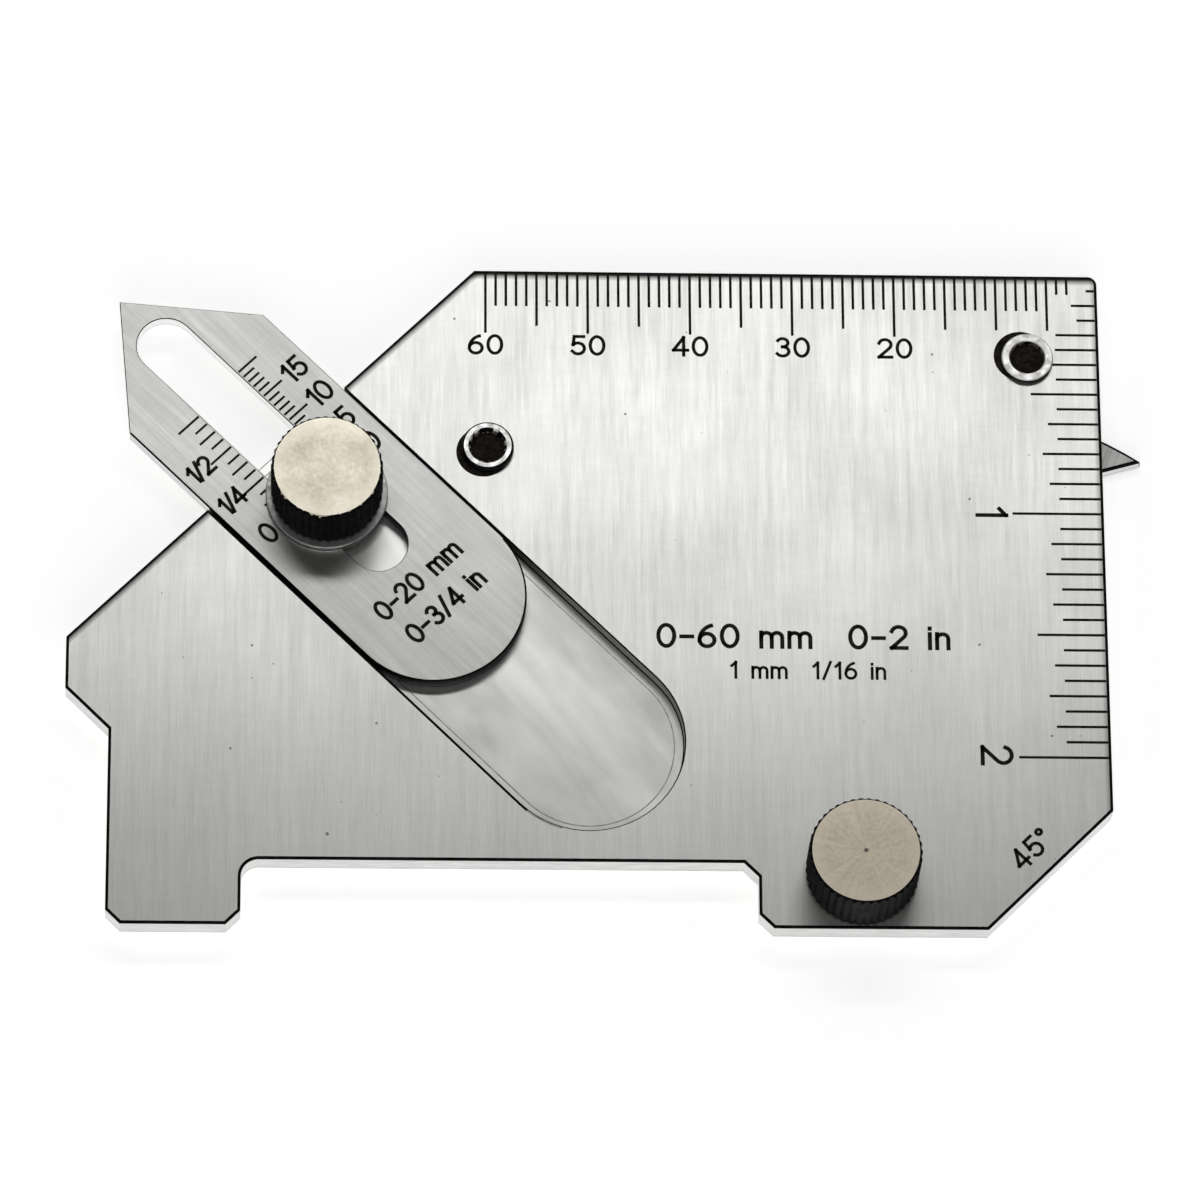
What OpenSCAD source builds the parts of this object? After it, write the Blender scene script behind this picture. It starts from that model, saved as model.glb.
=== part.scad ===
// Weld inspection gauge: a flat steel body with a 45 degree throat slide on its back
// and a pivoted finger segment on its front. It lies on its front, back face up.
// Plate coordinates start at the top right corner of the body: X to the right, Y up.

/* [Body plate] */
// Width from the left tip to the right edge
body_w = 100.2; // [98:0.1:106]
// Height from the feet to the top edge
body_h = 68.4; // [66:0.1:74]
// Thickness of the plate
body_t = 2.5; // [2.3:0.1:4]
// Length of the top edge, which ends at the 45 degree throat edge
top_l = 61.1; // [59:0.1:64]
// Length of the upright flat at the left tip
tip_flat = 5.3; // [3:0.1:7]
// Overhang of the left tip past the left foot
tip_over = 4.2; // [2:0.1:6]
// Width of the left foot
left_foot_w = 12.8; // [10:0.1:16]
// Width of the right foot, with its 45 degree corner
right_foot_w = 34; // [32:0.1:38]
// Height of the bridge gap between the feet
bridge_h = 6.6; // [5:0.1:7.5]
// Radius in the left inner corner of the bridge gap
bridge_r = 1.7; // [0.5:0.1:3]
// Chamfer in the right inner corner of the bridge gap
bridge_chamfer = 1.4; // [0.5:0.1:3]
// Chamfer at the lower corners of the feet
foot_chamfer = 1.4; // [0.5:0.1:2]
// Size of the 45 degree corner at the lower right
corner_45 = 12.2; // [10:0.1:14]
// Radius of the upper right corner
corner_r = 0.9; // [0.3:0.1:2]

/* [Throat slide] */
// Width of the slide
slide_w = 18.1; // [16:0.1:20]
// Length from the tip to the round end
slide_l = 52.4; // [50:0.1:54]
// Thickness of the slide
slide_t = 1.5; // [1.2:0.1:1.6]
// Angle of the pointed tip
tip_angle = 80; // [60:1:90]
// How far the tip stands past the throat edge at rest
slide_out = 21.8; // [18:0.1:26]
// How far the slide's line is set up the throat edge from its middle
slide_shift = 0.5; // [0:0.1:1]
// Width of the slot
slot_w = 5.7; // [5.5:0.1:6.5]
// Distance from the tip to the centre of the slot's first round end
slot_first = 6.5; // [6:0.1:9]
// Distance between the centres of the slot's round ends
slot_travel = 29.4; // [26:0.1:31]

/* [Channel] */
// Depth of the channel that the slide runs in
channel_depth = 1.5; // [1.2:0.1:1.6]
// Clearance between the slide and each wall of the channel
channel_clear = 0.15; // [0.1:0.05:0.4]
// Distance from the throat edge to the centre of the channel's round end
channel_l = 42.7; // [41:0.1:46]

/* [Clamp studs and knobs] */
// Diameter of both studs
stud_d = 5; // [4:0.1:5.2]
// Distance from the throat edge to the slide stud
stud_in = 7; // [5.5:0.1:8]
// Diameter of the flush head of the slide stud
slide_head_d = 7; // [6:0.1:8]
// Height of the flush head of the slide stud
slide_head_h = 0.7; // [0.4:0.1:0.9]
// Diameter of the flush head of the pivot stud
pivot_head_d = 7.4; // [6.5:0.1:8]
// Height of the flush head of the pivot stud
pivot_head_h = 1.1; // [0.6:0.1:1.2]
// Length of stud that each knob grips
stud_grip = 4.2; // [3:0.1:4.6]
// Chamfer at the free end of each stud
stud_chamfer = 0.4; // [0.2:0.1:0.8]
// Radial clearance of studs and rivets in their holes
fit_clear = 0.05; // [0.02:0.01:0.1]
// Outer diameter of each knob
knob_d = 10.8; // [9.5:0.1:11]
// Height of each knob
knob_h = 6.2; // [5.8:0.1:9]
// Chamfer at the top of each knob
knob_chamfer = 0.3; // [0.25:0.05:0.8]
// Undercut at the foot of each knob
knob_foot = 0.3; // [0.1:0.05:0.6]
// Number of knurl ridges round each knob
knurl_count = 42; // [24:1:48]
// Depth of the knurl
knurl_depth = 0.2; // [0.1:0.05:0.5]
// Free depth of the blind bore past the end of the stud
bore_spare = 0.6; // [0.3:0.1:1]
// Outer diameter of the washer under the slide knob
washer_d = 11.8; // [11:0.1:13]
// Thickness of the washer under the slide knob
washer_t = 0.8; // [0.5:0.1:1.2]

/* [Finger segment] */
// Distance from the right edge to the pivot
pivot_x = 24.2; // [22.5:0.1:26]
// Height of the pivot above the feet
pivot_up = 5.6; // [5.6:0.1:8]
// Thickness of the segment
seg_t = 1.5; // [1.2:0.1:2.5]
// Angle of the finger tip above the right hand direction at rest
finger_angle = 57.3; // [55:0.1:60]
// Angle of the pointed finger
finger_wedge = 48.7; // [40:0.1:60]
// Length of the finger's inner edge
finger_l = 14; // [10:0.1:18]
// Angle between the finger tip and the far side of the segment
seg_span = 80; // [70:1:84]
// Radius of the segment round its pivot
hub_r = 4.7; // [4.5:0.1:5.5]

/* [Guide arc] */
// Gap between the segment's curved edge and the guide arc
guide_gap = 0.3; // [0.2:0.05:0.6]
// Width of the guide arc
guide_w = 7.4; // [7:0.1:9]
// Thickness of the guide arc
guide_t = 1.5; // [1.2:0.1:2.5]
// Land between the guide arc and the top edge of the body
guide_land = 2.7; // [1:0.1:3]
// Distance from the right edge to the right rivet
rivet_edge = 7.1; // [6:0.1:9]
// Distance from the channel's wall to the left rivet
rivet_land = 5.4; // [5:0.1:8]
// Diameter of the rivet shank
rivet_d = 3.9; // [3.6:0.1:4.2]
// Bore of the hollow end of the rivet
rivet_bore = 3.3; // [2.4:0.1:3.4]
// Depth of the bore below the top of the rim
rivet_depth = 3.2; // [2:0.1:4]
// Diameter of the rolled rim on the back
rim_d = 5.1; // [4.4:0.1:5.4]
// Height of the rolled rim above the back face
rim_h = 0.9; // [0.5:0.1:1.2]
// Diameter of the flush flare on the front
flare_d = 5.2; // [4.6:0.1:6]
// Depth of the flush flare on the front
flare_h = 0.6; // [0.4:0.1:0.9]

/* [Hidden] */
$fn = 96;
// More than any thickness, for cuts that go right through
through = 1;
// How far the corners of a fan-shaped cut stand out past its arc
fan_reach = 1.4;
// Radius from the pivot to the curved edge of the segment and the finger tip
seg_r = body_h - pivot_up - guide_land - guide_w - guide_gap;
// Heights of the main faces
front_z = max(seg_t, guide_t);
back_z = front_z + body_t;
floor_z = back_z - channel_depth;
slide_top = floor_z + slide_t;
// Place of the body's top right corner: the whole gauge is centred on the origin
finger_over = seg_r * cos(finger_angle) - pivot_x;
right_x = (body_w - finger_over) / 2;
top_y = body_h / 2;
// The slide's line runs square to the throat edge, close to the corner of the left tip and the top edge
throat_x = slide_shift / sqrt(2) - (body_w + top_l) / 2;
throat_y = slide_shift / sqrt(2) - (body_w - top_l) / 2;
slide_turn = -45;
channel_w = slide_w + 2 * channel_clear;
tip_l = slide_w / 2 / tan(tip_angle / 2);
// The pivot, the finger and the guide arc share one centre
pivot = [-pivot_x, pivot_up - body_h];
far_angle = finger_angle + seg_span;
finger_tip = polar(seg_r, finger_angle);
finger_root = finger_tip + polar(finger_l, finger_angle + 90 + finger_wedge);
root_angle = atan2(finger_root[1], finger_root[0]);
// The segment's straight edges start inside the rim of its hub
hub_in = 0.75 * hub_r;
guide_in = seg_r + guide_gap;
guide_out = guide_in + guide_w;
rivet_r = guide_in + guide_w / 2;
// Both rivets lie on one circle: one set back from the right edge, one from the channel
slide_line = (body_w + pivot[0] + pivot[1]) / sqrt(2) - slide_shift;
rivet_right = acos((pivot_x - rivet_edge) / rivet_r);
rivet_left = acos((channel_w / 2 + rivet_land - slide_line) / rivet_r) - slide_turn;
// Corners of the body outline
left_foot_x = tip_over - body_w;
tip_top = top_l - body_w;
tip_low = tip_top - tip_flat;
stud_hole = stud_d + 2 * fit_clear;
rivet_hole = rivet_d + 2 * fit_clear;

function polar(r, a) = [r * cos(a), r * sin(a)];

// Steel in the shade of each piece
module steel() { color("silver") children(); }
module dark_steel() { color("darkgray") children(); }
module black_knurl() { color("dimgray") children(); }

// Moves plate coordinates to the gauge's own frame
module at_plate() { translate([right_x, top_y, 0]) children(); }

// Local X runs from the throat edge into the body along the slide's line
module at_throat() { at_plate() translate([throat_x, throat_y, 0]) rotate(slide_turn) children(); }

module at_pivot() { at_plate() translate(pivot) children(); }

// A bar from x0 to x1 along X with round ends centred on those points
module round_bar(x0, x1, w) {
    translate([x0, -w / 2]) square([x1 - x0, w]);
    translate([x0, 0]) circle(d = w);
    translate([x1, 0]) circle(d = w);
}

// Outline of the body before the bridge gap is cut
module plate_outline() {
    polygon([
        [-corner_r, 0],
        [-top_l, 0],
        [-body_w, tip_top],
        [-body_w, tip_low],
        [left_foot_x, tip_low - tip_over],
        [left_foot_x, foot_chamfer - body_h],
        [left_foot_x + foot_chamfer, -body_h],
        [-corner_45, -body_h],
        [0, corner_45 - body_h],
        [0, -corner_r],
        [-corner_r, -corner_r]
    ]);
    translate([-corner_r, -corner_r]) circle(r = corner_r);
}

// The gap between the feet, open at the base
module bridge_gap() {
    left = left_foot_x + left_foot_w;
    right = -right_foot_w;
    base = -body_h;
    top = base + bridge_h;
    polygon([
        [left - foot_chamfer, base - through],
        [left - foot_chamfer, base],
        [left, base + foot_chamfer],
        [left, top - bridge_r],
        [left + bridge_r, top - bridge_r],
        [left + bridge_r, top],
        [right - bridge_chamfer, top],
        [right, top - bridge_chamfer],
        [right, base + foot_chamfer],
        [right + foot_chamfer, base],
        [right + foot_chamfer, base - through]
    ]);
    translate([left + bridge_r, top - bridge_r]) circle(r = bridge_r);
}

module slide_outline() {
    polygon([
        [0, 0],
        [tip_l, -slide_w / 2],
        [slide_l - slide_w / 2, -slide_w / 2],
        [slide_l - slide_w / 2, slide_w / 2],
        [tip_l, slide_w / 2]
    ]);
    translate([slide_l - slide_w / 2, 0]) circle(d = slide_w);
}

// The fan between the finger and the far side, about the pivot
module segment_outline() {
    intersection() {
        circle(r = seg_r);
        polygon(concat(
            [polar(hub_in, root_angle - 90), finger_root, finger_tip],
            [for (i = [1:3]) polar(fan_reach * seg_r, finger_angle + i * seg_span / 3)],
            [polar(hub_in, far_angle + 90)]
        ));
    }
    circle(r = hub_r);
}

module guide_outline() {
    mid = (rivet_left + rivet_right) / 2;
    intersection() {
        difference() {
            circle(r = guide_out);
            circle(r = guide_in);
        }
        polygon([[0, 0], for (a = [rivet_right, mid, rivet_left]) polar(fan_reach * guide_out, a)]);
    }
    for (a = [rivet_right, rivet_left]) translate(polar(rivet_r, a)) circle(d = guide_w);
}

// A straight hole with a cone that widens to d at its lower end, z = 0
module countersunk_hole(hole_d, d, h, depth) {
    translate([0, 0, -through]) cylinder(d = hole_d, h = depth + 2 * through);
    cone_cut(hole_d, d, h);
}

module cone_cut(hole_d, d, h) {
    rotate_extrude() polygon([
        [0, -through],
        [d / 2 + fit_clear, -through],
        [d / 2 + fit_clear, 0],
        [hole_d / 2, h],
        [0, h]
    ]);
}

// A stud with a flush cone head at z = 0 and a chamfered free end
module clamp_stud(head_d, head_h, length) {
    rotate_extrude() polygon([
        [0, 0],
        [head_d / 2, 0],
        [stud_d / 2, head_h],
        [stud_d / 2, length - stud_chamfer],
        [stud_d / 2 - stud_chamfer, length],
        [0, length]
    ]);
}

// Knurled blind nut that stands on z = 0
module clamp_knob() {
    tooth = 360 / knurl_count;
    foot_r = knob_d / 2 - knurl_depth - knob_foot;
    top_r = knob_d / 2 - knob_chamfer;
    // The turned blank is wider than the knurl, so only its chamfers cut the ridges
    blank = knob_h / 3;
    difference() {
        intersection() {
            linear_extrude(knob_h) polygon([
                for (i = [0:knurl_count - 1], side = [0, 1])
                    polar(knob_d / 2 - side * knurl_depth, (i + side / 2) * tooth)
            ]);
            rotate_extrude() polygon([
                [0, 0],
                [foot_r, 0],
                [foot_r + blank, blank],
                [top_r + blank, knob_h - blank],
                [top_r, knob_h],
                [0, knob_h]
            ]);
        }
        translate([0, 0, -through]) cylinder(d = stud_hole, h = through + stud_grip + bore_spare);
    }
}

// Semi-tubular rivet: a solid flush head at z = 0 on the front and a hollow rolled rim on the back
module guide_rivet(angle) {
    grip = guide_t + body_t;
    top = grip + rim_h;
    edge = (rim_d - rivet_bore) / 4;
    steel() at_pivot() translate(concat(polar(rivet_r, angle), front_z - guide_t)) rotate_extrude() {
        polygon([
            [0, 0],
            [flare_d / 2, 0],
            [rivet_d / 2, flare_h],
            [rivet_d / 2, grip],
            [rim_d / 2, grip],
            [rim_d / 2, top - edge],
            [rivet_bore / 2, top - edge],
            [rivet_bore / 2, top - rivet_depth],
            [0, top - rivet_depth]
        ]);
        translate([rim_d / 2 - edge, top - edge]) circle(r = edge);
    }
}

module rivet_holes(flare) {
    for (a = [rivet_right, rivet_left]) at_pivot() translate(concat(polar(rivet_r, a), front_z - guide_t)) {
        if (flare) countersunk_hole(rivet_hole, flare_d, flare_h, guide_t);
        else translate([0, 0, guide_t - through]) cylinder(d = rivet_hole, h = body_t + 2 * through);
    }
}

module body_plate() {
    steel() difference() {
        at_plate() translate([0, 0, front_z]) linear_extrude(body_t) difference() {
            plate_outline();
            bridge_gap();
        }
        at_throat() translate([0, 0, floor_z]) linear_extrude(channel_depth + through)
            round_bar(-channel_w, channel_l, channel_w);
        at_throat() translate([stud_in, 0, front_z])
            countersunk_hole(stud_hole, slide_head_d, slide_head_h, body_t);
        at_pivot() translate([0, 0, front_z - through]) cylinder(d = stud_hole, h = body_t + 2 * through);
        rivet_holes(false);
    }
}

module throat_slide() {
    dark_steel() at_throat() translate([-slide_out, 0, floor_z]) linear_extrude(slide_t) difference() {
        slide_outline();
        round_bar(slot_first, slot_first + slot_travel, slot_w);
    }
}

module slide_stud() {
    length = slide_top - front_z + washer_t + stud_grip;
    steel() at_throat() translate([stud_in, 0, front_z]) clamp_stud(slide_head_d, slide_head_h, length);
}

module slide_washer() {
    dark_steel() at_throat() translate([stud_in, 0, slide_top]) linear_extrude(washer_t) difference() {
        circle(d = washer_d);
        circle(d = stud_hole);
    }
}

module slide_knob() {
    black_knurl() at_throat() translate([stud_in, 0, slide_top + washer_t]) clamp_knob();
}

module finger_segment() {
    dark_steel() at_pivot() translate([0, 0, front_z - seg_t]) difference() {
        linear_extrude(seg_t) segment_outline();
        countersunk_hole(stud_hole, pivot_head_d, pivot_head_h, seg_t);
    }
}

module pivot_stud() {
    length = seg_t + body_t + stud_grip;
    steel() at_pivot() translate([0, 0, front_z - seg_t]) clamp_stud(pivot_head_d, pivot_head_h, length);
}

module pivot_knob() {
    black_knurl() at_pivot() translate([0, 0, back_z]) clamp_knob();
}

module guide_arc() {
    steel() difference() {
        at_pivot() translate([0, 0, front_z - guide_t]) linear_extrude(guide_t) guide_outline();
        rivet_holes(true);
    }
}

module guide_rivet_left() { guide_rivet(rivet_left); }

module guide_rivet_right() { guide_rivet(rivet_right); }

body_plate();
throat_slide();
slide_stud();
slide_washer();
slide_knob();
finger_segment();
pivot_stud();
pivot_knob();
guide_arc();
guide_rivet_left();
guide_rivet_right();
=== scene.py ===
"""Looks of a flat steel weld gauge: brushed plate, throat slide, clamp knobs, rivets and engraved scales."""
import math

import bmesh
import bpy
from mathutils import Matrix, Vector


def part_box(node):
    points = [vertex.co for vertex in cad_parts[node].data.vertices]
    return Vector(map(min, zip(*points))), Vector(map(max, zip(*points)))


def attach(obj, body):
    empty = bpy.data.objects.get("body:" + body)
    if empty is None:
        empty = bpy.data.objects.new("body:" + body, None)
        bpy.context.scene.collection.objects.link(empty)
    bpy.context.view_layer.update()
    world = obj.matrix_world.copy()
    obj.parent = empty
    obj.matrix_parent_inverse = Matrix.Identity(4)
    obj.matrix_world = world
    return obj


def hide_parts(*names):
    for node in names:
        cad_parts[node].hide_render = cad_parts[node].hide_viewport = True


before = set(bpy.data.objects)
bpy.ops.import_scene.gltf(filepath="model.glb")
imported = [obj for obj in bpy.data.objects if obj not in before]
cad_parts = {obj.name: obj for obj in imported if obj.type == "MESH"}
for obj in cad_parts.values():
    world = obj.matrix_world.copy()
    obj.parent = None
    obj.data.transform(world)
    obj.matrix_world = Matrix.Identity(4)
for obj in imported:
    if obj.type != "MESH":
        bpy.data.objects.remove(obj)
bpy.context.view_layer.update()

MM = 0.001
SIXTEENTH = 25.4 / 16
DIAGONAL = math.sqrt(0.5)
SHARP = math.radians(50)
TOUCH = 1e-7

# The plate's back face and the edges that the scales start from
BACK_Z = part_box("body_plate")[1].z
RIGHT_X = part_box("body_plate")[1].x
TOP_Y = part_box("body_plate")[1].y
TOP_LENGTH = 61.1 * MM
THROAT_EDGE = (TOP_Y - RIGHT_X + TOP_LENGTH) * DIAGONAL

# The slide and its channel. SLIDE_OUT is how many millimetres of the slide stand past the throat edge
SLIDE_TIP = Vector((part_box("throat_slide")[0].x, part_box("throat_slide")[1].y, BACK_Z))
SLIDE_OUT = 21.8
RUNNING_GAP = 0.02 * MM
CHANNEL_W = 18.4 * MM
CHANNEL_END = 75 * MM
CHANNEL_FLOOR = BACK_Z - 1.5 * MM

# Middles of the clamps and the rivets
PIVOT = (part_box("pivot_stud")[0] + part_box("pivot_stud")[1]) / 2
SLIDE_CLAMP = (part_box("slide_knob")[0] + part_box("slide_knob")[1]) / 2
RIVETS = {n: (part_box(n)[0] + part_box(n)[1]) / 2 for n in ("guide_rivet_left", "guide_rivet_right")}


# Node helpers

def new_material(name):
    material = bpy.data.materials.new(name)
    material.use_nodes = True
    tree = material.node_tree
    shader = tree.nodes["Principled BSDF"]
    return material, tree, shader


def add_node(tree, kind, settings=None, **sockets):
    node = tree.nodes.new(kind)
    for key, value in (settings or {}).items():
        setattr(node, key, value)
    for key, value in sockets.items():
        node.inputs[key.replace("_", " ")].default_value = value
    return node


def placed_coordinates(tree, turn=0.0, centre=(0, 0, 0), scale=(1, 1, 1)):
    """Object coordinates moved to a centre, turned about Z and then scaled."""
    coordinates = add_node(tree, "ShaderNodeTexCoord")
    shift = add_node(tree, "ShaderNodeMapping", Location=tuple(-c for c in centre))
    spin = add_node(tree, "ShaderNodeMapping", Rotation=(0, 0, turn))
    stretch = add_node(tree, "ShaderNodeMapping", Scale=scale)
    tree.links.new(coordinates.outputs["Object"], shift.inputs["Vector"])
    tree.links.new(shift.outputs[0], spin.inputs["Vector"])
    tree.links.new(spin.outputs[0], stretch.inputs["Vector"])
    return stretch.outputs[0]


def noise(tree, vector, detail=3.0, roughness=0.6, scale=1.0, swirl=0.0):
    node = add_node(tree, "ShaderNodeTexNoise", Scale=scale, Detail=detail, Roughness=roughness,
                    Distortion=swirl)
    tree.links.new(vector, node.inputs["Vector"])
    return node.outputs["Fac"]


def remap(tree, value, low, high, to_low, to_high):
    node = add_node(tree, "ShaderNodeMapRange", {"clamp": True})
    tree.links.new(value, node.inputs["Value"])
    node.inputs["From Min"].default_value = low
    node.inputs["From Max"].default_value = high
    node.inputs["To Min"].default_value = to_low
    node.inputs["To Max"].default_value = to_high
    return node.outputs["Result"]


def math_node(tree, operation, a, b):
    node = add_node(tree, "ShaderNodeMath", {"operation": operation})
    for socket, value in zip(node.inputs, (a, b)):
        if isinstance(value, (int, float)):
            socket.default_value = value
        else:
            tree.links.new(value, socket)
    return node.outputs[0]


def layered(tree, *layers):
    """The sum of layers, each a value and its share."""
    total = None
    for value, share in layers:
        part = math_node(tree, "MULTIPLY", value, share)
        total = part if total is None else math_node(tree, "ADD", total, part)
    return total


def mix_colour(tree, factor, a, b):
    node = add_node(tree, "ShaderNodeMix", {"data_type": "RGBA"})
    tree.links.new(factor, node.inputs[0])
    for socket, value in ((node.inputs[6], a), (node.inputs[7], b)):
        if isinstance(value, tuple):
            socket.default_value = (*value, 1)
        else:
            tree.links.new(value, socket)
    return node.outputs[2]


def bump(tree, shader, height, strength, distance):
    node = add_node(tree, "ShaderNodeBump", Strength=strength, Distance=distance)
    tree.links.new(height, node.inputs["Height"])
    tree.links.new(node.outputs[0], shader.inputs["Normal"])


# Materials

def brushed_steel(name, dark, light, turn=0.0, rough=(0.33, 0.39), grain=(7500, 260), cloud=0.35,
                  specks=0.75, painted_edge_shade=()):
    """Ground sheet steel: fine streaks along Y, soft clouds, faint cross marks and a few dark specks.
    painted_edge_shade lists edges with a band of painted shade: the turn in degrees that brings each to the
    top, its Y then, the widths of its dark band and of the solid part of that in millimetres, and its
    strength."""
    material, tree, shader = new_material(name)
    fine = noise(tree, placed_coordinates(tree, turn, scale=(grain[0], grain[1], grain[0])), 3, 0.65)
    slow = noise(tree, placed_coordinates(tree, turn, scale=(1500, 60, 1500)), 2, 0.5)
    cross = noise(tree, placed_coordinates(tree, turn, scale=(420, 2600, 420)), 2, 0.5)
    clouds = noise(tree, placed_coordinates(tree, turn, scale=(70, 70, 70)), 3, 0.55)
    layers = ((fine, 0.5), (slow, 0.34), (cross, 0.1), (clouds, cloud))
    shade = layered(tree, *layers)
    middle = sum(share for layer, share in layers) / 2
    low, high = middle - 0.2, middle + 0.2
    tone = remap(tree, shade, low, high, 0, 1)
    grit = noise(tree, placed_coordinates(tree, turn, scale=(1500, 1500, 1500)), 0, 0.5)
    spots = remap(tree, grit, 0.87, 0.89, 0, specks)
    colour = mix_colour(tree, spots, mix_colour(tree, tone, dark, light), (0.10, 0.10, 0.09))
    # Painted shade: a black band inside each listed edge, fading inward
    for edge_turn, edge, width, solid, strength in painted_edge_shade:
        place = add_node(tree, "ShaderNodeSeparateXYZ")
        tree.links.new(placed_coordinates(tree, math.radians(edge_turn)), place.inputs[0])
        band = remap(tree, place.outputs["Y"], edge - width * MM, edge - solid * MM, 0, strength)
        colour = mix_colour(tree, band, colour, (0.01, 0.01, 0.01))
    tree.links.new(colour, shader.inputs["Base Color"])
    tree.links.new(remap(tree, shade, low, high, rough[1], rough[0]), shader.inputs["Roughness"])
    shader.inputs["Metallic"].default_value = 1.0
    bump(tree, shader, fine, 0.06, 0.02 * MM)
    return material


def polished_pocket(name):
    """The milled channel floor: soft streaks, with a painted highlight along its middle and painted light that
    fades out between 40 and 50 mm along it.
    """
    material, tree, shader = new_material(name)
    cut_line = placed_coordinates(tree, math.radians(-38), scale=(300, 60, 300))
    streaks = noise(tree, cut_line, 3, 0.5, swirl=0.7)
    slide_line = placed_coordinates(tree, math.radians(-45), scale=(210, 150, 210))
    clouds = noise(tree, slide_line, 4, 0.55, swirl=0.5)
    blend = layered(tree, (streaks, 0.6), (clouds, 0.4))
    tone = remap(tree, blend, 0.36, 0.64, 0, 1)
    colour = mix_colour(tree, tone, (0.60, 0.605, 0.58), (0.80, 0.805, 0.775))
    place = add_node(tree, "ShaderNodeSeparateXYZ")
    tree.links.new(placed_coordinates(tree, math.radians(45), centre=SLIDE_TIP), place.inputs[0])
    # Painted highlight: a bright streak along the channel's middle
    off_middle = math_node(tree, "ABSOLUTE", place.outputs["Y"], 0.0)
    band = math_node(tree, "MULTIPLY", remap(tree, off_middle, 0.5 * MM, 5 * MM, 1.1, 0.0), blend)
    # Painted light: a brighter floor that fades out between 40 and 50 mm along the channel
    wear_and_painted_light = remap(tree, place.outputs["X"], 40 * MM, 50 * MM, 0.85, 0.0)
    colour = mix_colour(tree, math_node(tree, "MAXIMUM", band, wear_and_painted_light), colour, (0.96, 0.96, 0.93))
    tree.links.new(colour, shader.inputs["Base Color"])
    tree.links.new(remap(tree, blend, 0.36, 0.64, 0.40, 0.33), shader.inputs["Roughness"])
    shader.inputs["Metallic"].default_value = 1.0
    return material


def edge_finish(name, dark, light, rough=0.42, grain=(1400, 5200)):
    """Uneven steel of edges and small turned pieces. grain is the scale of its marks across and up."""
    material, tree, shader = new_material(name)
    specks = noise(tree, placed_coordinates(tree, scale=(grain[0], grain[0], grain[1])), 4, 0.65)
    tone = remap(tree, specks, 0.35, 0.65, 0, 1)
    tree.links.new(mix_colour(tree, tone, dark, light), shader.inputs["Base Color"])
    tree.links.new(remap(tree, specks, 0.35, 0.65, rough + 0.12, rough - 0.06), shader.inputs["Roughness"])
    shader.inputs["Metallic"].default_value = 1.0
    bump(tree, shader, specks, 0.2, 0.03 * MM)
    return material


def faced_top(name, centre, dark, light, pip, scratch):
    """Pale faced top of a clamp knob: mottled, brighter at the rim. pip is the strength of its dark middle,
    scratch the share of scratches that run out from there."""
    material, tree, shader = new_material(name)
    around = placed_coordinates(tree, centre=centre)
    flat = add_node(tree, "ShaderNodeVectorMath", {"operation": "MULTIPLY"})
    tree.links.new(around, flat.inputs[0])
    flat.inputs[1].default_value = (1, 1, 0)
    length = add_node(tree, "ShaderNodeVectorMath", {"operation": "LENGTH"})
    tree.links.new(flat.outputs[0], length.inputs[0])
    radius = length.outputs["Value"]
    rings = add_node(tree, "ShaderNodeTexWave", {"wave_type": "RINGS", "rings_direction": "Z"},
                     Scale=620.0, Distortion=2.2, Detail=2.0, Detail_Scale=1.2)
    tree.links.new(around, rings.inputs["Vector"])
    mottle = noise(tree, placed_coordinates(tree, centre=centre, scale=(2300, 2300, 2300)), 3, 0.65)
    broad = noise(tree, placed_coordinates(tree, centre=centre, scale=(330, 330, 330)), 2, 0.5)
    outward = add_node(tree, "ShaderNodeVectorMath", {"operation": "NORMALIZE"})
    tree.links.new(flat.outputs[0], outward.inputs[0])
    spokes = noise(tree, outward.outputs[0], 3, 0.6, 7.0)
    blend = layered(tree, (mottle, 0.45), (broad, 0.55 - scratch), (spokes, scratch))
    pale = mix_colour(tree, remap(tree, blend, 0.36, 0.62, 0, 1), dark, light)
    rim = remap(tree, radius, 3.6 * MM, 5.0 * MM, 0, 0.55)
    rimmed = mix_colour(tree, rim, pale, tuple(c * 1.04 for c in light))
    tool_rings = math_node(tree, "MULTIPLY", rings.outputs["Fac"], 0.03)
    ringed = mix_colour(tree, tool_rings, rimmed, (0.42, 0.38, 0.31))
    centre_pip = remap(tree, radius, 0.12 * MM, 0.3 * MM, pip, 0.0)
    colour = mix_colour(tree, centre_pip, ringed, (0.05, 0.045, 0.04))
    tree.links.new(colour, shader.inputs["Base Color"])
    tree.links.new(remap(tree, blend, 0.36, 0.62, 0.44, 0.38), shader.inputs["Roughness"])
    shader.inputs["Metallic"].default_value = 1.0
    bump(tree, shader, rings.outputs["Fac"], 0.03, 0.04 * MM)
    return material


def blackened(name, top, chipped):
    """Blackened knurl of a clamp knob. top is the height of its top edge, chipped how much of that is bare."""
    material, tree, shader = new_material(name)
    wear = noise(tree, placed_coordinates(tree, scale=(700, 700, 1500)), 4, 0.6)
    chips = noise(tree, placed_coordinates(tree, scale=(1700, 1700, 900)), 2, 0.6)
    height = add_node(tree, "ShaderNodeSeparateXYZ")
    tree.links.new(placed_coordinates(tree), height.inputs[0])
    rise = remap(tree, height.outputs["Z"], top - 0.55 * MM, top, 0, 1)
    wear_and_painted_light = math_node(tree, "ADD", math_node(tree, "MULTIPLY", rise, 0.45), chips)
    bare = remap(tree, wear_and_painted_light, 1.08 - chipped, 1.11 - chipped, 0, 1)
    greyed = remap(tree, wear, 0.5, 0.8, 0, 1)
    black = mix_colour(tree, greyed, (0.0012, 0.0012, 0.0012), (0.006, 0.0055, 0.005))
    tree.links.new(mix_colour(tree, bare, black, (0.62, 0.57, 0.47)), shader.inputs["Base Color"])
    tree.links.new(bare, shader.inputs["Metallic"])
    tree.links.new(remap(tree, wear, 0.3, 0.7, 0.6, 0.45), shader.inputs["Roughness"])
    shader.inputs["Specular IOR Level"].default_value = 0.04
    bump(tree, shader, wear, 0.15, 0.04 * MM)
    return material


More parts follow.
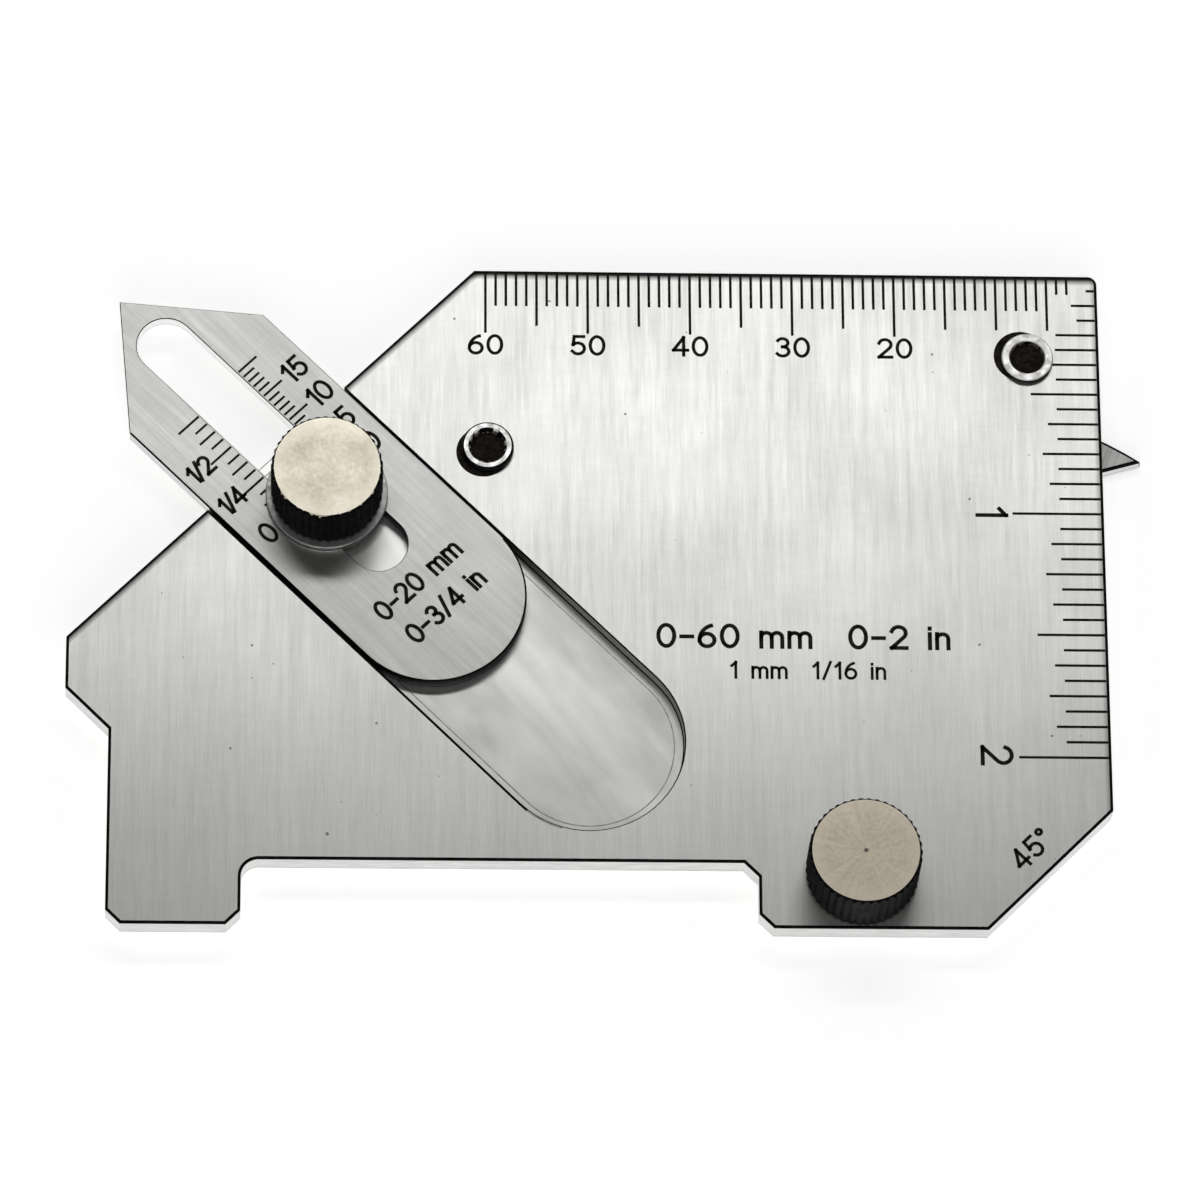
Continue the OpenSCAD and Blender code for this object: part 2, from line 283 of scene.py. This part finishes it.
def flecked_bore(name):
    """Inside of a tubular rivet: painted shade, black, with painted glints as bright flecks."""
    material, tree, shader = new_material(name)
    # Painted glints: bright metal flecks in the black
    wear_and_painted_light = noise(tree, placed_coordinates(tree, scale=(1500, 1500, 900)), 2, 0.55)
    bright = remap(tree, wear_and_painted_light, 0.49, 0.55, 0, 1)
    colour = mix_colour(tree, bright, (0.002, 0.002, 0.002), (0.80, 0.78, 0.75))
    tree.links.new(colour, shader.inputs["Base Color"])
    tree.links.new(bright, shader.inputs["Metallic"])
    shader.inputs["Roughness"].default_value = 0.4
    shader.inputs["Specular IOR Level"].default_value = 0.05
    return material


def engraving_fill(name):
    """Black fill of the engraved marks and of the painted shadows beside the rivets, a little brown and
    uneven.
    """
    material, tree, shader = new_material(name)
    patches = noise(tree, placed_coordinates(tree, scale=(2600, 2600, 2600)), 3, 0.6)
    tone = remap(tree, patches, 0.35, 0.7, 0, 1)
    colour = mix_colour(tree, tone, (0.006, 0.005, 0.004), (0.030, 0.022, 0.018))
    tree.links.new(colour, shader.inputs["Base Color"])
    tree.links.new(remap(tree, patches, 0.35, 0.7, 0.65, 0.5), shader.inputs["Roughness"])
    shader.inputs["Specular IOR Level"].default_value = 0.08
    return material


# The plate steel, with painted shade inside its top, throat and right edges
plate_steel = brushed_steel("plate_brushed_steel", (0.66, 0.665, 0.635), (0.86, 0.865, 0.83),
                            painted_edge_shade=[(0, TOP_Y, 1.0, 0.38, 0.99), (-45, THROAT_EDGE, 0.85, 0.28, 0.95),
                                        (90, RIGHT_X, 0.75, 0.1, 0.75)])
slide_grain = brushed_steel("slide_brushed_steel", (0.47, 0.472, 0.45), (0.66, 0.665, 0.64),
                            math.radians(-45), (0.34, 0.40), (6500, 160), 0.25, specks=0.0)
# The segment and guide steel, darker than the plate: painted shade
shaded_segment_grain = brushed_steel("segment_brushed_steel_painted_shade", (0.27, 0.27, 0.265), (0.42, 0.42, 0.41),
                              math.radians(20), (0.32, 0.42), (8000, 200), 0.3)
pocket_steel = polished_pocket("channel_floor_steel")
ground_edge = edge_finish("ground_edge_steel", (0.60, 0.60, 0.59), (0.82, 0.82, 0.81), 0.34, (320, 7000))
# Near-white copy of the edge steel for the slide's slot walls: painted light
slot_wall_light_steel = edge_finish("slot_wall_painted_light_steel", (0.86, 0.86, 0.85), (0.98, 0.98, 0.97), 0.34, (320, 7000))
# Near-black steel for the slide's walls where it lies in the channel: painted shade
held_wall_shade_steel = edge_finish("slide_wall_painted_shade_steel", (0.005, 0.005, 0.005), (0.018, 0.018, 0.017))
# Near-black steel for broken edges, borders and rivet slopes: painted shade
outline_shade_steel = edge_finish("painted_outline_shade_steel", (0.003, 0.003, 0.003), (0.012, 0.012, 0.0115), 0.42)
# Darker copy of the edge steel for the channel's walls: painted shade
channel_wall_shade_steel = edge_finish("channel_wall_painted_shade_steel", (0.40, 0.40, 0.39), (0.66, 0.66, 0.64), 0.4)
# Grey steel for a line round the channel floor, and for painted shade in the border along the channel's lower
# rim
grey_line_steel = edge_finish("channel_grey_line_steel", (0.26, 0.26, 0.255), (0.42, 0.42, 0.41), 0.4)
turned_steel = edge_finish("turned_stud_steel", (0.34, 0.34, 0.33), (0.55, 0.55, 0.54), 0.34)
washer_steel = edge_finish("washer_steel", (0.42, 0.42, 0.41), (0.66, 0.66, 0.65), 0.4)
washer_edge = edge_finish("washer_edge_steel", (0.10, 0.10, 0.10), (0.22, 0.22, 0.22), 0.45)
rim_nickel = edge_finish("rivet_rim_nickel", (0.66, 0.655, 0.64), (0.90, 0.89, 0.87), 0.36)
bore_painted_shade = flecked_bore("rivet_bore_painted_shade")
slide_knob_black = blackened("slide_knob_black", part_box("slide_knob")[1].z, 0.13)
pivot_knob_black = blackened("pivot_knob_black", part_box("pivot_knob")[1].z, 0.0)
slide_knob_face = faced_top("slide_knob_face", SLIDE_CLAMP, (0.73, 0.665, 0.535), (0.95, 0.89, 0.755),
                            pip=0.0, scratch=0.08)
pivot_knob_face = faced_top("pivot_knob_face", PIVOT, (0.62, 0.55, 0.43), (0.87, 0.78, 0.64),
                            pip=0.9, scratch=0.35)
# Black fill for the engraved marks and for the painted shadows beside the rivets
inlay_black = engraving_fill("engraved_mark_and_painted_shadow_black")


# Dressed pieces

# Places of the finishes in each kind of piece's list of materials
PLATE_FACE, PLATE_FLOOR, PLATE_WALL, PLATE_SHADE_LINE, PLATE_GREY_LINE, PLATE_CHANNEL_WALL = range(6)
SHEET_FACE, SHEET_WALL, SHEET_SHADE_LINE, SLIDE_SHADED_WALL, SLIDE_LIT_SLOT_WALL = range(5)
KNOB_SIDE, KNOB_TOP = range(2)
RIVET_RIM, RIVET_BORE, RIVET_SLOPE = range(3)


def break_edges(bm, chosen, offset, edge=None, segments=2):
    """Bevels the chosen edges. edge is the place in materials of the new faces, where they have their own."""
    cut = bmesh.ops.bevel(bm, geom=chosen, offset=offset, offset_type="OFFSET", segments=segments,
                          profile=0.5, affect="EDGES", clamp_overlap=False, material=-1)
    if edge is not None:
        for face in cut["faces"]:
            face.material_index = edge


def dressed(name, node, body, slot, materials, pick, offset=0.0, edge=None, before=None):
    """A copy of a CAD node with broken edges. pick gives each face's place in materials, edge that of the
    bevels, and before shapes the mesh ahead of them."""
    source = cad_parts[node].data
    bm = bmesh.new()
    corners = [bm.verts.new(v.co) for v in source.vertices]
    for polygon in source.polygons:
        if len(set(polygon.vertices)) > 2:
            bm.faces.new([corners[i] for i in polygon.vertices])
    bmesh.ops.remove_doubles(bm, verts=bm.verts[:], dist=TOUCH)
    bmesh.ops.dissolve_limit(bm, angle_limit=math.radians(0.5), verts=bm.verts[:], edges=bm.edges[:])
    bmesh.ops.recalc_face_normals(bm, faces=bm.faces[:])
    bm.normal_update()
    for face in bm.faces:
        face.material_index = pick(face.normal, face.calc_center_median())
    if before:
        before(bm)
    if offset:
        chosen = [e for e in bm.edges if len(e.link_faces) == 2 and e.calc_face_angle(0.0) > SHARP]
        break_edges(bm, chosen, offset, edge)
    bm.normal_update()
    for face in bm.faces:
        face.smooth = abs(face.normal.z) < 0.9995
    for e in bm.edges:
        e.smooth = len(e.link_faces) == 2 and e.calc_face_angle(0.0) < math.radians(40)
    return finish_piece(name, bm, body, slot, materials, node)


def finish_piece(name, bm, body, slot, materials, *nodes):
    mesh = bpy.data.meshes.new(name)
    bm.to_mesh(mesh)
    bm.free()
    for material in materials:
        mesh.materials.append(material)
    piece = bpy.data.objects.new(name, mesh)
    bpy.context.scene.collection.objects.link(piece)
    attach(piece, body)
    if nodes:
        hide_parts(*nodes)
    return piece


def slide_axes(point):
    """Place of a point along the slide's line from its tip, and across that line."""
    x, y = point.x - SLIDE_TIP.x, point.y - SLIDE_TIP.y
    return (x - y) * DIAGONAL, (x + y) * DIAGONAL


def in_channel(point):
    """Whether a point is in the channel or on its rim."""
    along, across = slide_axes(point)
    return abs(across) < CHANNEL_W / 2 + 0.4 * MM and along < CHANNEL_END


def plate_point(u, v):
    """A place on the back face, in millimetres right of its right edge and up from its top edge."""
    return (RIGHT_X + u * MM, TOP_Y + v * MM, BACK_Z)


def slide_point(s, t):
    """A place on the slide, in millimetres inward from its tip and across it."""
    return (SLIDE_TIP.x + (s + t) * DIAGONAL * MM, SLIDE_TIP.y + (t - s) * DIAGONAL * MM, BACK_Z)


def plate_face(normal, centre):
    if normal.z > 0.9:
        return PLATE_FACE if centre.z > BACK_Z - 0.2 * MM else PLATE_FLOOR
    if normal.z < -0.9:
        return PLATE_FACE
    return PLATE_CHANNEL_WALL if in_channel(centre) and centre.z > CHANNEL_FLOOR + 0.3 * MM else PLATE_WALL


def sheet_face(normal, centre):
    return SHEET_FACE if abs(normal.z) > 0.9 else SHEET_WALL


def knob_face(top):
    return lambda normal, centre: KNOB_TOP if normal.z > 0.9 and centre.z > top - 0.05 * MM else KNOB_SIDE


def rivet_face(middle, bore, slope):
    """Finishes of a rivet. Inside the radius bore it is painted shade with painted glints, and outer faces
    steeper than slope are painted dark as shade.
    """
    def pick(normal, centre):
        out = Vector((centre.x - middle.x, centre.y - middle.y, 0))
        inward = normal.dot(out) < 0
        if out.length < bore and (inward or normal.z > 0.9):
            return RIVET_BORE
        return RIVET_SLOPE if centre.z > BACK_Z and normal.z < slope and not inward else RIVET_RIM
    return pick


def whole(bm):
    return bm.verts[:] + bm.edges[:] + bm.faces[:]


def sharp_rim(bm, height):
    """The sharp edges at one height."""
    rim = []
    for e in bm.edges:
        middle = (e.verts[0].co + e.verts[1].co) / 2
        if abs(middle.z - height) < 0.01 * MM and e.calc_face_angle(0.0) > SHARP:
            rim.append(e)
    return rim


def dark_border(bm, width, finish):
    """A border inside the edges of the upper face, for painted shade. finish gives the place in materials at
    each point.
    """
    bm.normal_update()
    upper = [f for f in bm.faces if f.material_index == SHEET_FACE and f.normal.z > 0.9]
    border = bmesh.ops.inset_region(bm, faces=upper, thickness=width, use_even_offset=True)
    for face in border["faces"]:
        face.material_index = finish(face.calc_center_median())


def lifted_underside(bm):
    """A running gap under a piece that another one slides on."""
    low = min(v.co.z for v in bm.verts)
    underside = [v for v in bm.verts if v.co.z < low + 0.01 * MM]
    bmesh.ops.translate(bm, verts=underside, vec=(0, 0, RUNNING_GAP))


def plate_edges(bm):
    """A grey line round the channel floor, and broken edges and a border inside the outline painted dark as
    shade. Along the channel's lower rim the border is painted grey shade, and elsewhere in the channel it is
    plain plate steel.
    """
    floor = [f for f in bm.faces if f.material_index == PLATE_FLOOR]
    bmesh.ops.inset_region(bm, faces=floor, thickness=0.88 * MM, use_even_offset=True)
    grey_line = bmesh.ops.inset_region(bm, faces=floor, thickness=0.12 * MM, use_even_offset=True)
    for face in grey_line["faces"]:
        face.material_index = PLATE_GREY_LINE
    lower_wall = -CHANNEL_W / 2

    # Painted shade in the border: black outside the channel, grey along its lower rim
    def border_finish(point):
        across = slide_axes(point)[1]
        if not in_channel(point) or across < lower_wall - 0.1 * MM:
            return PLATE_SHADE_LINE
        return PLATE_GREY_LINE if across < lower_wall + 0.8 * MM else PLATE_FACE

    break_edges(bm, sharp_rim(bm, BACK_Z), 0.13 * MM, PLATE_SHADE_LINE, 3)
    dark_border(bm, 0.16 * MM, border_finish)


def slide_edges(bm):
    """Walls painted dark as shade on the part that lies in the channel, walls painted near-white as light in
    the slot where it stands past the throat edge, and broken edges painted dark as shade.
    """
    lifted_underside(bm)
    bmesh.ops.bisect_plane(bm, geom=whole(bm), dist=TOUCH, plane_co=slide_point(SLIDE_OUT, 0),
                           plane_no=(DIAGONAL, -DIAGONAL, 0))
    slot_side = 3.2 * MM
    # Painted shade on walls in the channel, painted light on slot walls past the throat edge
    for face in bm.faces:
        along, across = slide_axes(face.calc_center_median())
        if face.material_index == SHEET_WALL and along > SLIDE_OUT * MM:
            face.material_index = SLIDE_SHADED_WALL
        elif face.material_index == SHEET_WALL and abs(across) < slot_side:
            face.material_index = SLIDE_LIT_SLOT_WALL

    # Painted shade in the border along the lower side and round end
    def border_finish(point):
        along, across = slide_axes(point)
        lower_side, round_end = across < -8.6 * MM, along > 44 * MM
        return SHEET_SHADE_LINE if lower_side or round_end else SHEET_FACE

    break_edges(bm, sharp_rim(bm, BACK_Z), 0.08 * MM, SHEET_SHADE_LINE)
    dark_border(bm, 0.1 * MM, border_finish)


def segment_edges(bm):
    """Broken edges and a border round the face that lies against the plate, where the finger shows, painted
    dark as shade.
    """
    break_edges(bm, sharp_rim(bm, max(v.co.z for v in bm.verts)), 0.2 * MM, SHEET_SHADE_LINE)
    dark_border(bm, 0.1 * MM, lambda point: SHEET_SHADE_LINE)


def flattened_rim(bm, depth):
    """The crest of a rolled rim, flattened by the setting tool."""
    crest = max(v.co.z for v in bm.verts) - depth
    cut = bmesh.ops.bisect_plane(bm, geom=whole(bm), dist=TOUCH, plane_co=(0, 0, crest), plane_no=(0, 0, 1),
                                 clear_outer=True)
    loops = [g for g in cut["geom_cut"] if isinstance(g, bmesh.types.BMEdge)]
    flat = bmesh.ops.bridge_loops(bm, edges=loops)
    bmesh.ops.recalc_face_normals(bm, faces=bm.faces[:])
    for face in flat["faces"]:
        face.material_index = RIVET_RIM


# Bevels and borders in the shade line finish are painted dark as shade
dressed("gauge_plate", "body_plate", "body", "body_steel",
        [plate_steel, pocket_steel, ground_edge, outline_shade_steel, grey_line_steel, channel_wall_shade_steel],
        plate_face, 0.11 * MM, PLATE_SHADE_LINE, before=plate_edges)
dressed("throat_blade", "throat_slide", "slide", "slide_steel",
        [slide_grain, ground_edge, outline_shade_steel, held_wall_shade_steel, slot_wall_light_steel],
        sheet_face, 0.07 * MM, SHEET_SHADE_LINE, before=slide_edges)
dressed("cam_segment", "finger_segment", "segment", "segment_steel",
        [shaded_segment_grain, ground_edge, outline_shade_steel],
        sheet_face, 0.2 * MM, SHEET_SHADE_LINE, before=segment_edges)
dressed("guide_strip", "guide_arc", "body", "segment_steel",
        [shaded_segment_grain, ground_edge, outline_shade_steel],
        sheet_face, 0.2 * MM, SHEET_SHADE_LINE)
dressed("clamp_washer", "slide_washer", "body", "washer_steel",
        [washer_steel, washer_edge],
        sheet_face, 0.1 * MM, SHEET_FACE, before=lifted_underside)
dressed("clamp_stud", "slide_stud", "body", "stud_steel", [turned_steel], lambda normal, centre: 0, 0.1 * MM)
dressed("pivot_pin", "pivot_stud", "segment", "stud_steel", [turned_steel], lambda normal, centre: 0, 0.1 * MM)
for knob, body, black, face in (("slide_knob", "slide_clamp", slide_knob_black, slide_knob_face),
                                ("pivot_knob", "pivot_clamp", pivot_knob_black, pivot_knob_face)):
    dressed(knob + "_turned", knob, body, "knob_black", [black, face], knob_face(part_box(knob)[1].z))
# Rivets: bores of painted shade with painted glints, steep outer slopes painted dark as shade
for side, bore, slope, depth in (("left", 1.85, 0.95, 0.05), ("right", 1.68, 0.4, 0.1)):
    node = "guide_rivet_" + side
    dressed("rolled_rivet_" + side, node, "body", "rivet_steel", [rim_nickel, bore_painted_shade, outline_shade_steel],
            rivet_face(RIVETS[node], bore * MM, slope), 0.1 * MM,
            before=lambda bm, depth=depth: flattened_rim(bm, depth * MM))


# Engraved marks, and painted shadows beside the rivets

MARK_DEPTH = 0.012 * MM
MARK_PROUD = 0.006 * MM
TICK_W = 0.26 * MM
SLIDE_TICK_W = 0.24 * MM


def stroke(bm, start, end, width, top):
    """One engraved line as a thin inlay, a little proud of the face."""
    a, b = Vector(start).to_2d(), Vector(end).to_2d()
    along = b - a
    middle = (a + b) / 2
    place = (Matrix.Translation((middle.x, middle.y, top + MARK_PROUD - MARK_DEPTH / 2))
             @ Matrix.Rotation(math.atan2(along.y, along.x), 4, "Z")
             @ Matrix.Diagonal((along.length, width, MARK_DEPTH, 1)))
    bmesh.ops.create_cube(bm, size=1, matrix=place)


def arc(x, y, rx, ry, start, end, steps=10):
    """Points on an ellipse from one angle to another, in degrees."""
    turns = [math.radians(start + (end - start) * i / steps) for i in range(steps + 1)]
    return [(x + rx * math.cos(t), y + ry * math.sin(t)) for t in turns]


def ring(x, y, rx, ry):
    return arc(x, y, rx, ry, 90, 450, 24)


# Single-line engraving letters on a cap height of 1: width, then strokes
LETTERS = {
    "0": (0.62, [ring(0.31, 0.5, 0.31, 0.5)]),
    "1": (0.30, [[(0.02, 0.76), (0.25, 0.98)], [(0.25, 1.0), (0.25, 0.0)]]),
    "2": (0.60, [arc(0.30, 0.71, 0.28, 0.29, 165, -38) + [(0.02, 0.0)], [(0.02, 0.0), (0.60, 0.0)]]),
    "3": (0.58, [arc(0.28, 0.76, 0.25, 0.24, 150, -90), arc(0.28, 0.27, 0.29, 0.27, 90, -150)]),
    "4": (0.64, [[(0.46, 0.0), (0.46, 1.0)], [(0.46, 1.0), (0.0, 0.28)], [(0.0, 0.28), (0.64, 0.28)]]),
    "5": (0.58, [[(0.54, 1.0), (0.11, 1.0)], [(0.11, 1.0), (0.06, 0.53)],
                 arc(0.28, 0.32, 0.30, 0.32, 138, -150)]),
    "6": (0.60, [ring(0.30, 0.30, 0.29, 0.30), arc(0.61, 0.30, 0.60, 0.70, 104, 180)]),
    "/": (0.40, [[(0.0, -0.04), (0.40, 1.04)]]),
    "°": (0.28, [ring(0.14, 0.86, 0.13, 0.13)]),
    "–": (0.42, [[(0.0, 0.46), (0.42, 0.46)]]),
    "m": (0.82, [[(0.0, 0.0), (0.0, 0.68)], arc(0.205, 0.46, 0.205, 0.21, 180, 0) + [(0.41, 0.0)],
                 arc(0.615, 0.46, 0.205, 0.21, 180, 0) + [(0.82, 0.0)]]),
    "n": (0.44, [[(0.0, 0.0), (0.0, 0.68)], arc(0.22, 0.46, 0.22, 0.21, 180, 0) + [(0.44, 0.0)]]),
    "i": (0.0, [[(0.0, 0.0), (0.0, 0.68)], [(0.0, 0.92), (0.0, 0.94)]]),
    " ": (0.36, []),
}


def ribbon(bm, points, width, top):
    """A thin inlay along a line of points: a low wall raised on it and thickened to the stroke's width."""
    line = [Vector((*p, top + MARK_PROUD - MARK_DEPTH)) for p in points]
    closed = (line[0] - line[-1]).length < 1e-9
    if closed:
        line.pop()
    else:
        line[0] += (line[0] - line[1]).normalized() * width / 2
        line[-1] += (line[-1] - line[-2]).normalized() * width / 2
    dots = [bm.verts.new(p) for p in line]
    path = [bm.edges.new(pair) for pair in zip(dots, dots[1:] + dots[:1] if closed else dots[1:])]
    wall = bmesh.ops.extrude_edge_only(bm, edges=path)["geom"]
    raised = [g for g in wall if isinstance(g, bmesh.types.BMVert)]
    sides = [g for g in wall if isinstance(g, bmesh.types.BMFace)]
    bmesh.ops.translate(bm, verts=raised, vec=(0, 0, MARK_DEPTH))
    for face in sides:
        face.normal_update()
    for vert in dots + raised:
        vert.normal_update()
        vert.co += vert.normal * width / 2
    bmesh.ops.solidify(bm, geom=sides, thickness=width)


def lettering(bm, words, cap, place, turn=0.0, stretch=1.0, weight=0.26, gap=0.26, mirror=1):
    """Engraved letters centred on place and turned about Z. mirror is -1 where they are read from below."""
    total = sum(LETTERS[c][0] for c in words) + gap * (len(words) - 1)
    cursor = -total / 2
    x, y, top = place
    cos, sin = math.cos(turn), math.sin(turn)
    for letter in words:
        width, strokes = LETTERS[letter]
        for points in strokes:
            placed = []
            for px, py in points:
                u, v = (cursor + px) * stretch * cap * mirror, (py - 0.5) * cap
                placed.append((x + u * cos - v * sin, y + u * sin + v * cos))
            ribbon(bm, placed, weight * MM, top)
        cursor += width + gap


def engraved(name, bm, body):
    bmesh.ops.recalc_face_normals(bm, faces=bm.faces[:])
    slot = {"slide": "slide_steel", "segment": "segment_steel"}.get(body, "body_steel")
    return finish_piece(name, bm, body, slot, [inlay_black])


def millimetre_scale():
    bm = bmesh.new()
    for k in range(3, 61):
        length = 6.7 if k % 10 == 0 and k > 10 else 5.9 if k % 5 == 0 else 3.8
        if k < 5:
            length = 2.0
        stroke(bm, plate_point(-k, -0.3), plate_point(-k, -length), TICK_W, BACK_Z)
    for k in range(20, 61, 10):
        lettering(bm, str(k), 1.88 * MM, plate_point(-k, -7.95), stretch=1.14, weight=0.33)
    return engraved("millimetre_scale", bm, "body")


def inch_scale():
    bm = bmesh.new()
    near_top = {1: 1.1, 2: 2.6, 3: 2.1, 4: 4.2}
    for k in range(1, 33):
        length = 4.3
        for step, reach in ((2, 5.2), (4, 5.8), (8, 6.8), (16, 8.9)):
            if k % step == 0:
                length = reach
        length = near_top.get(k, length)
        v = -k * SIXTEENTH
        stroke(bm, plate_point(-0.3, v), plate_point(-length, v), TICK_W, BACK_Z)
    for k, u in ((1, -10.9), (2, -11.0)):
        lettering(bm, str(k), 2.8 * MM, plate_point(u, -25.3 * k), math.radians(-90), 1.05, 0.4)
    return engraved("inch_scale", bm, "body")


def corner_angle():
    bm = bmesh.new()
    lettering(bm, "45°", 1.95 * MM, plate_point(-8.0, -60.2), math.radians(45), 1.05, 0.33)
    return engraved("corner_angle", bm, "body")


def scale_ranges():
    bm = bmesh.new()
    lettering(bm, "0–60 mm  0–2 in", 2.2 * MM, plate_point(-29.4, -38.5),
              stretch=1.12, weight=0.4, gap=0.28)
    lettering(bm, "1 mm  1/16 in", 1.6 * MM, plate_point(-29.0, -42.0),
              stretch=1.05, weight=0.28, gap=0.28)
    return engraved("scale_ranges", bm, "body")


def slide_scales():
    """Throat scales on both sides of the slot. Their steps are set 45 degrees to the slide's travel."""
    bm = bmesh.new()
    turn = math.radians(45)
    zero = 27.65
    edge = 2.85
    for k in range(0, 21):
        s = zero - k * DIAGONAL
        length = 2.6 if k % 5 == 0 else 1.6
        stroke(bm, slide_point(s, edge + 0.16), slide_point(s, edge + length), SLIDE_TICK_W, BACK_Z)
    for k in range(0, 16, 5):
        lettering(bm, str(k), 2.0 * MM, slide_point(zero - k * DIAGONAL, 7.1), turn, 1.0, 0.35, 0.2)
    for k in range(0, 13):
        s = zero - k * SIXTEENTH * DIAGONAL
        length = 2.9 if k % 4 == 0 else 2.2 if k % 2 == 0 else 1.7
        stroke(bm, slide_point(s, -edge - 0.16), slide_point(s, -edge - length), SLIDE_TICK_W, BACK_Z)
    for k, words, cap, t in ((0, "0", 2.0, -6.8), (4, "1/4", 1.8, -6.9), (8, "1/2", 1.8, -6.85)):
        s = zero - k * SIXTEENTH * DIAGONAL - (0.35 if k else 0)
        lettering(bm, words, cap * MM, slide_point(s, t), turn, 0.95, 0.35, 0.08)
    for words, s in (("0–20 mm", 41.2), ("0–3/4 in", 45.0)):
        lettering(bm, words, 1.9 * MM, slide_point(s, 0.0), turn, 0.95, 0.37, 0.24)
    return engraved("slide_scales", bm, "slide")


def angle_scale():
    """Degrees on the front face of the guide strip, beside the segment's rim, cut to be read from below."""
    bm = bmesh.new()
    middle = Vector((PIVOT.x, PIVOT.y, 0))
    rim = 53.1 * MM
    zero = 123.2
    for degrees in range(0, 46, 5):
        turn = math.radians(zero - degrees)
        out = Vector((math.cos(turn), math.sin(turn), 0))
        numbered = degrees % 10 == 0
        reach = 2.6 * MM if numbered else 1.8 * MM
        stroke(bm, middle + out * rim, middle + out * (rim + reach), TICK_W, 0.0)
        if numbered:
            lettering(bm, str(degrees), 1.7 * MM, middle + out * (rim + 4.2 * MM), turn - math.radians(90),
                      1.0, 0.28, mirror=-1)
    return engraved("angle_scale", bm, "body")


def segment_line():
    """The reading line on the front face of the segment."""
    bm = bmesh.new()
    turn = math.radians(98.2)
    out = Vector((math.cos(turn), math.sin(turn), 0))
    middle = Vector((PIVOT.x, PIVOT.y, 0))
    stroke(bm, middle + out * 46 * MM, middle + out * 52 * MM, 0.28 * MM, 0.0)
    return engraved("segment_line", bm, "segment")


def rivet_seats():
    """Painted shadows: a black crescent inlay beside each rolled rim, in place of the rim's shadow and
    reflection on the plate.
    """
    bm = bmesh.new()
    radius = 2.62 * MM
    height = BACK_Z + MARK_PROUD - MARK_DEPTH / 2
    for rivet, (across, up) in zip(RIVETS.values(), ((-0.42, -0.36), (-0.6, 0.4))):
        place = Matrix.Translation((rivet.x + across * MM, rivet.y + up * MM, height))
        bmesh.ops.create_cone(bm, cap_ends=True, segments=64, radius1=radius, radius2=radius, depth=MARK_DEPTH,
                              matrix=place)
    return engraved("rivet_seats", bm, "body")


# Painted shadows beside the rivets, as black inlays
rivet_seats()
millimetre_scale()
inch_scale()
corner_angle()
scale_ranges()
slide_scales()
angle_scale()
segment_line()


# Stage, light and camera

def pale_floor(lift):
    """A matt floor that takes shadows. lift is the light that it adds where it is seen or mirrored."""
    bm = bmesh.new()
    just_below = Matrix.Translation((0, 0, -0.05 * MM))
    bmesh.ops.create_grid(bm, x_segments=2, y_segments=2, size=3.0, matrix=just_below)
    mesh = bpy.data.meshes.new("pale_floor")
    bm.to_mesh(mesh)
    bm.free()
    material, tree, shader = new_material("pale_floor")
    shader.inputs["Base Color"].default_value = (0.9, 0.9, 0.9, 1)
    shader.inputs["Roughness"].default_value = 0.9
    shader.inputs["Specular IOR Level"].default_value = 0.1
    shader.inputs["Emission Color"].default_value = (1, 1, 1, 1)
    path = add_node(tree, "ShaderNodeLightPath")
    seen = path.outputs["Is Camera Ray"]
    for kind in ("Is Glossy Ray", "Is Transmission Ray"):
        seen = math_node(tree, "MAXIMUM", seen, path.outputs[kind])
    tree.links.new(math_node(tree, "MULTIPLY", seen, lift), shader.inputs["Emission Strength"])
    mesh.materials.append(material)
    floor = bpy.data.objects.new("pale_floor", mesh)
    bpy.context.scene.collection.objects.link(floor)


def softbox(name, place, aim, size, radiance):
    """A flat lamp of one brightness all over, whatever its size."""
    light = bpy.data.lights.new(name, "AREA")
    light.shape = "RECTANGLE"
    light.size, light.size_y = size
    light.energy = radiance * math.pi * size[0] * size[1]
    lamp = bpy.data.objects.new(name, light)
    lamp.location = place
    lamp.rotation_euler = (Vector(aim) - Vector(place)).to_track_quat("-Z", "Y").to_euler()
    lamp.visible_camera = False
    bpy.context.scene.collection.objects.link(lamp)


def soft_world(horizon, zenith):
    """A room that is pale to the sides, dark overhead and a little dimmer behind."""
    world = bpy.data.worlds.new("studio")
    bpy.context.scene.world = world
    world.use_nodes = True
    tree = world.node_tree
    tree.nodes.clear()
    output = add_node(tree, "ShaderNodeOutputWorld")
    coordinates = add_node(tree, "ShaderNodeTexCoord")
    split = add_node(tree, "ShaderNodeSeparateXYZ")
    tree.links.new(coordinates.outputs["Generated"], split.inputs[0])
    glow = add_node(tree, "ShaderNodeBackground")
    height = remap(tree, split.outputs["Z"], 0.5, 0.8, horizon, zenith)
    side = remap(tree, split.outputs["Y"], -0.3, 0.6, 1.0, 0.8)
    tree.links.new(math_node(tree, "MULTIPLY", height, side), glow.inputs["Strength"])
    tree.links.new(glow.outputs[0], output.inputs[0])


def photo_camera():
    data = bpy.data.cameras.new("camera")
    data.sensor_width = 36.0
    data.lens = 241.34
    data.clip_start = 0.01
    camera = bpy.data.objects.new("camera", data)
    camera.location = Vector((RIGHT_X, TOP_Y, BACK_Z)) + Vector((-0.07667, -0.33355, 0.71439))
    camera.rotation_euler = (math.radians(22.686), math.radians(-2.087), math.radians(-0.321))
    bpy.context.scene.collection.objects.link(camera)
    bpy.context.scene.camera = camera


pale_floor(0.585)
soft_world(0.75, 0.01)
softbox("key_strip", (0.003, 0.152, 0.28), (0.0, 0.02, 0.0), (0.238, 0.04), 4.6)
softbox("front_fill", (0.0, -0.55, 0.45), (0.0, 0.0, 0.0), (0.5, 0.5), 1.0)
softbox("overhead_fill", (0.0, -0.11, 0.64), (0.0, -0.04, 0.0), (0.16, 0.16), 2.2)
photo_camera()
bpy.context.scene.view_settings.view_transform = "Standard"
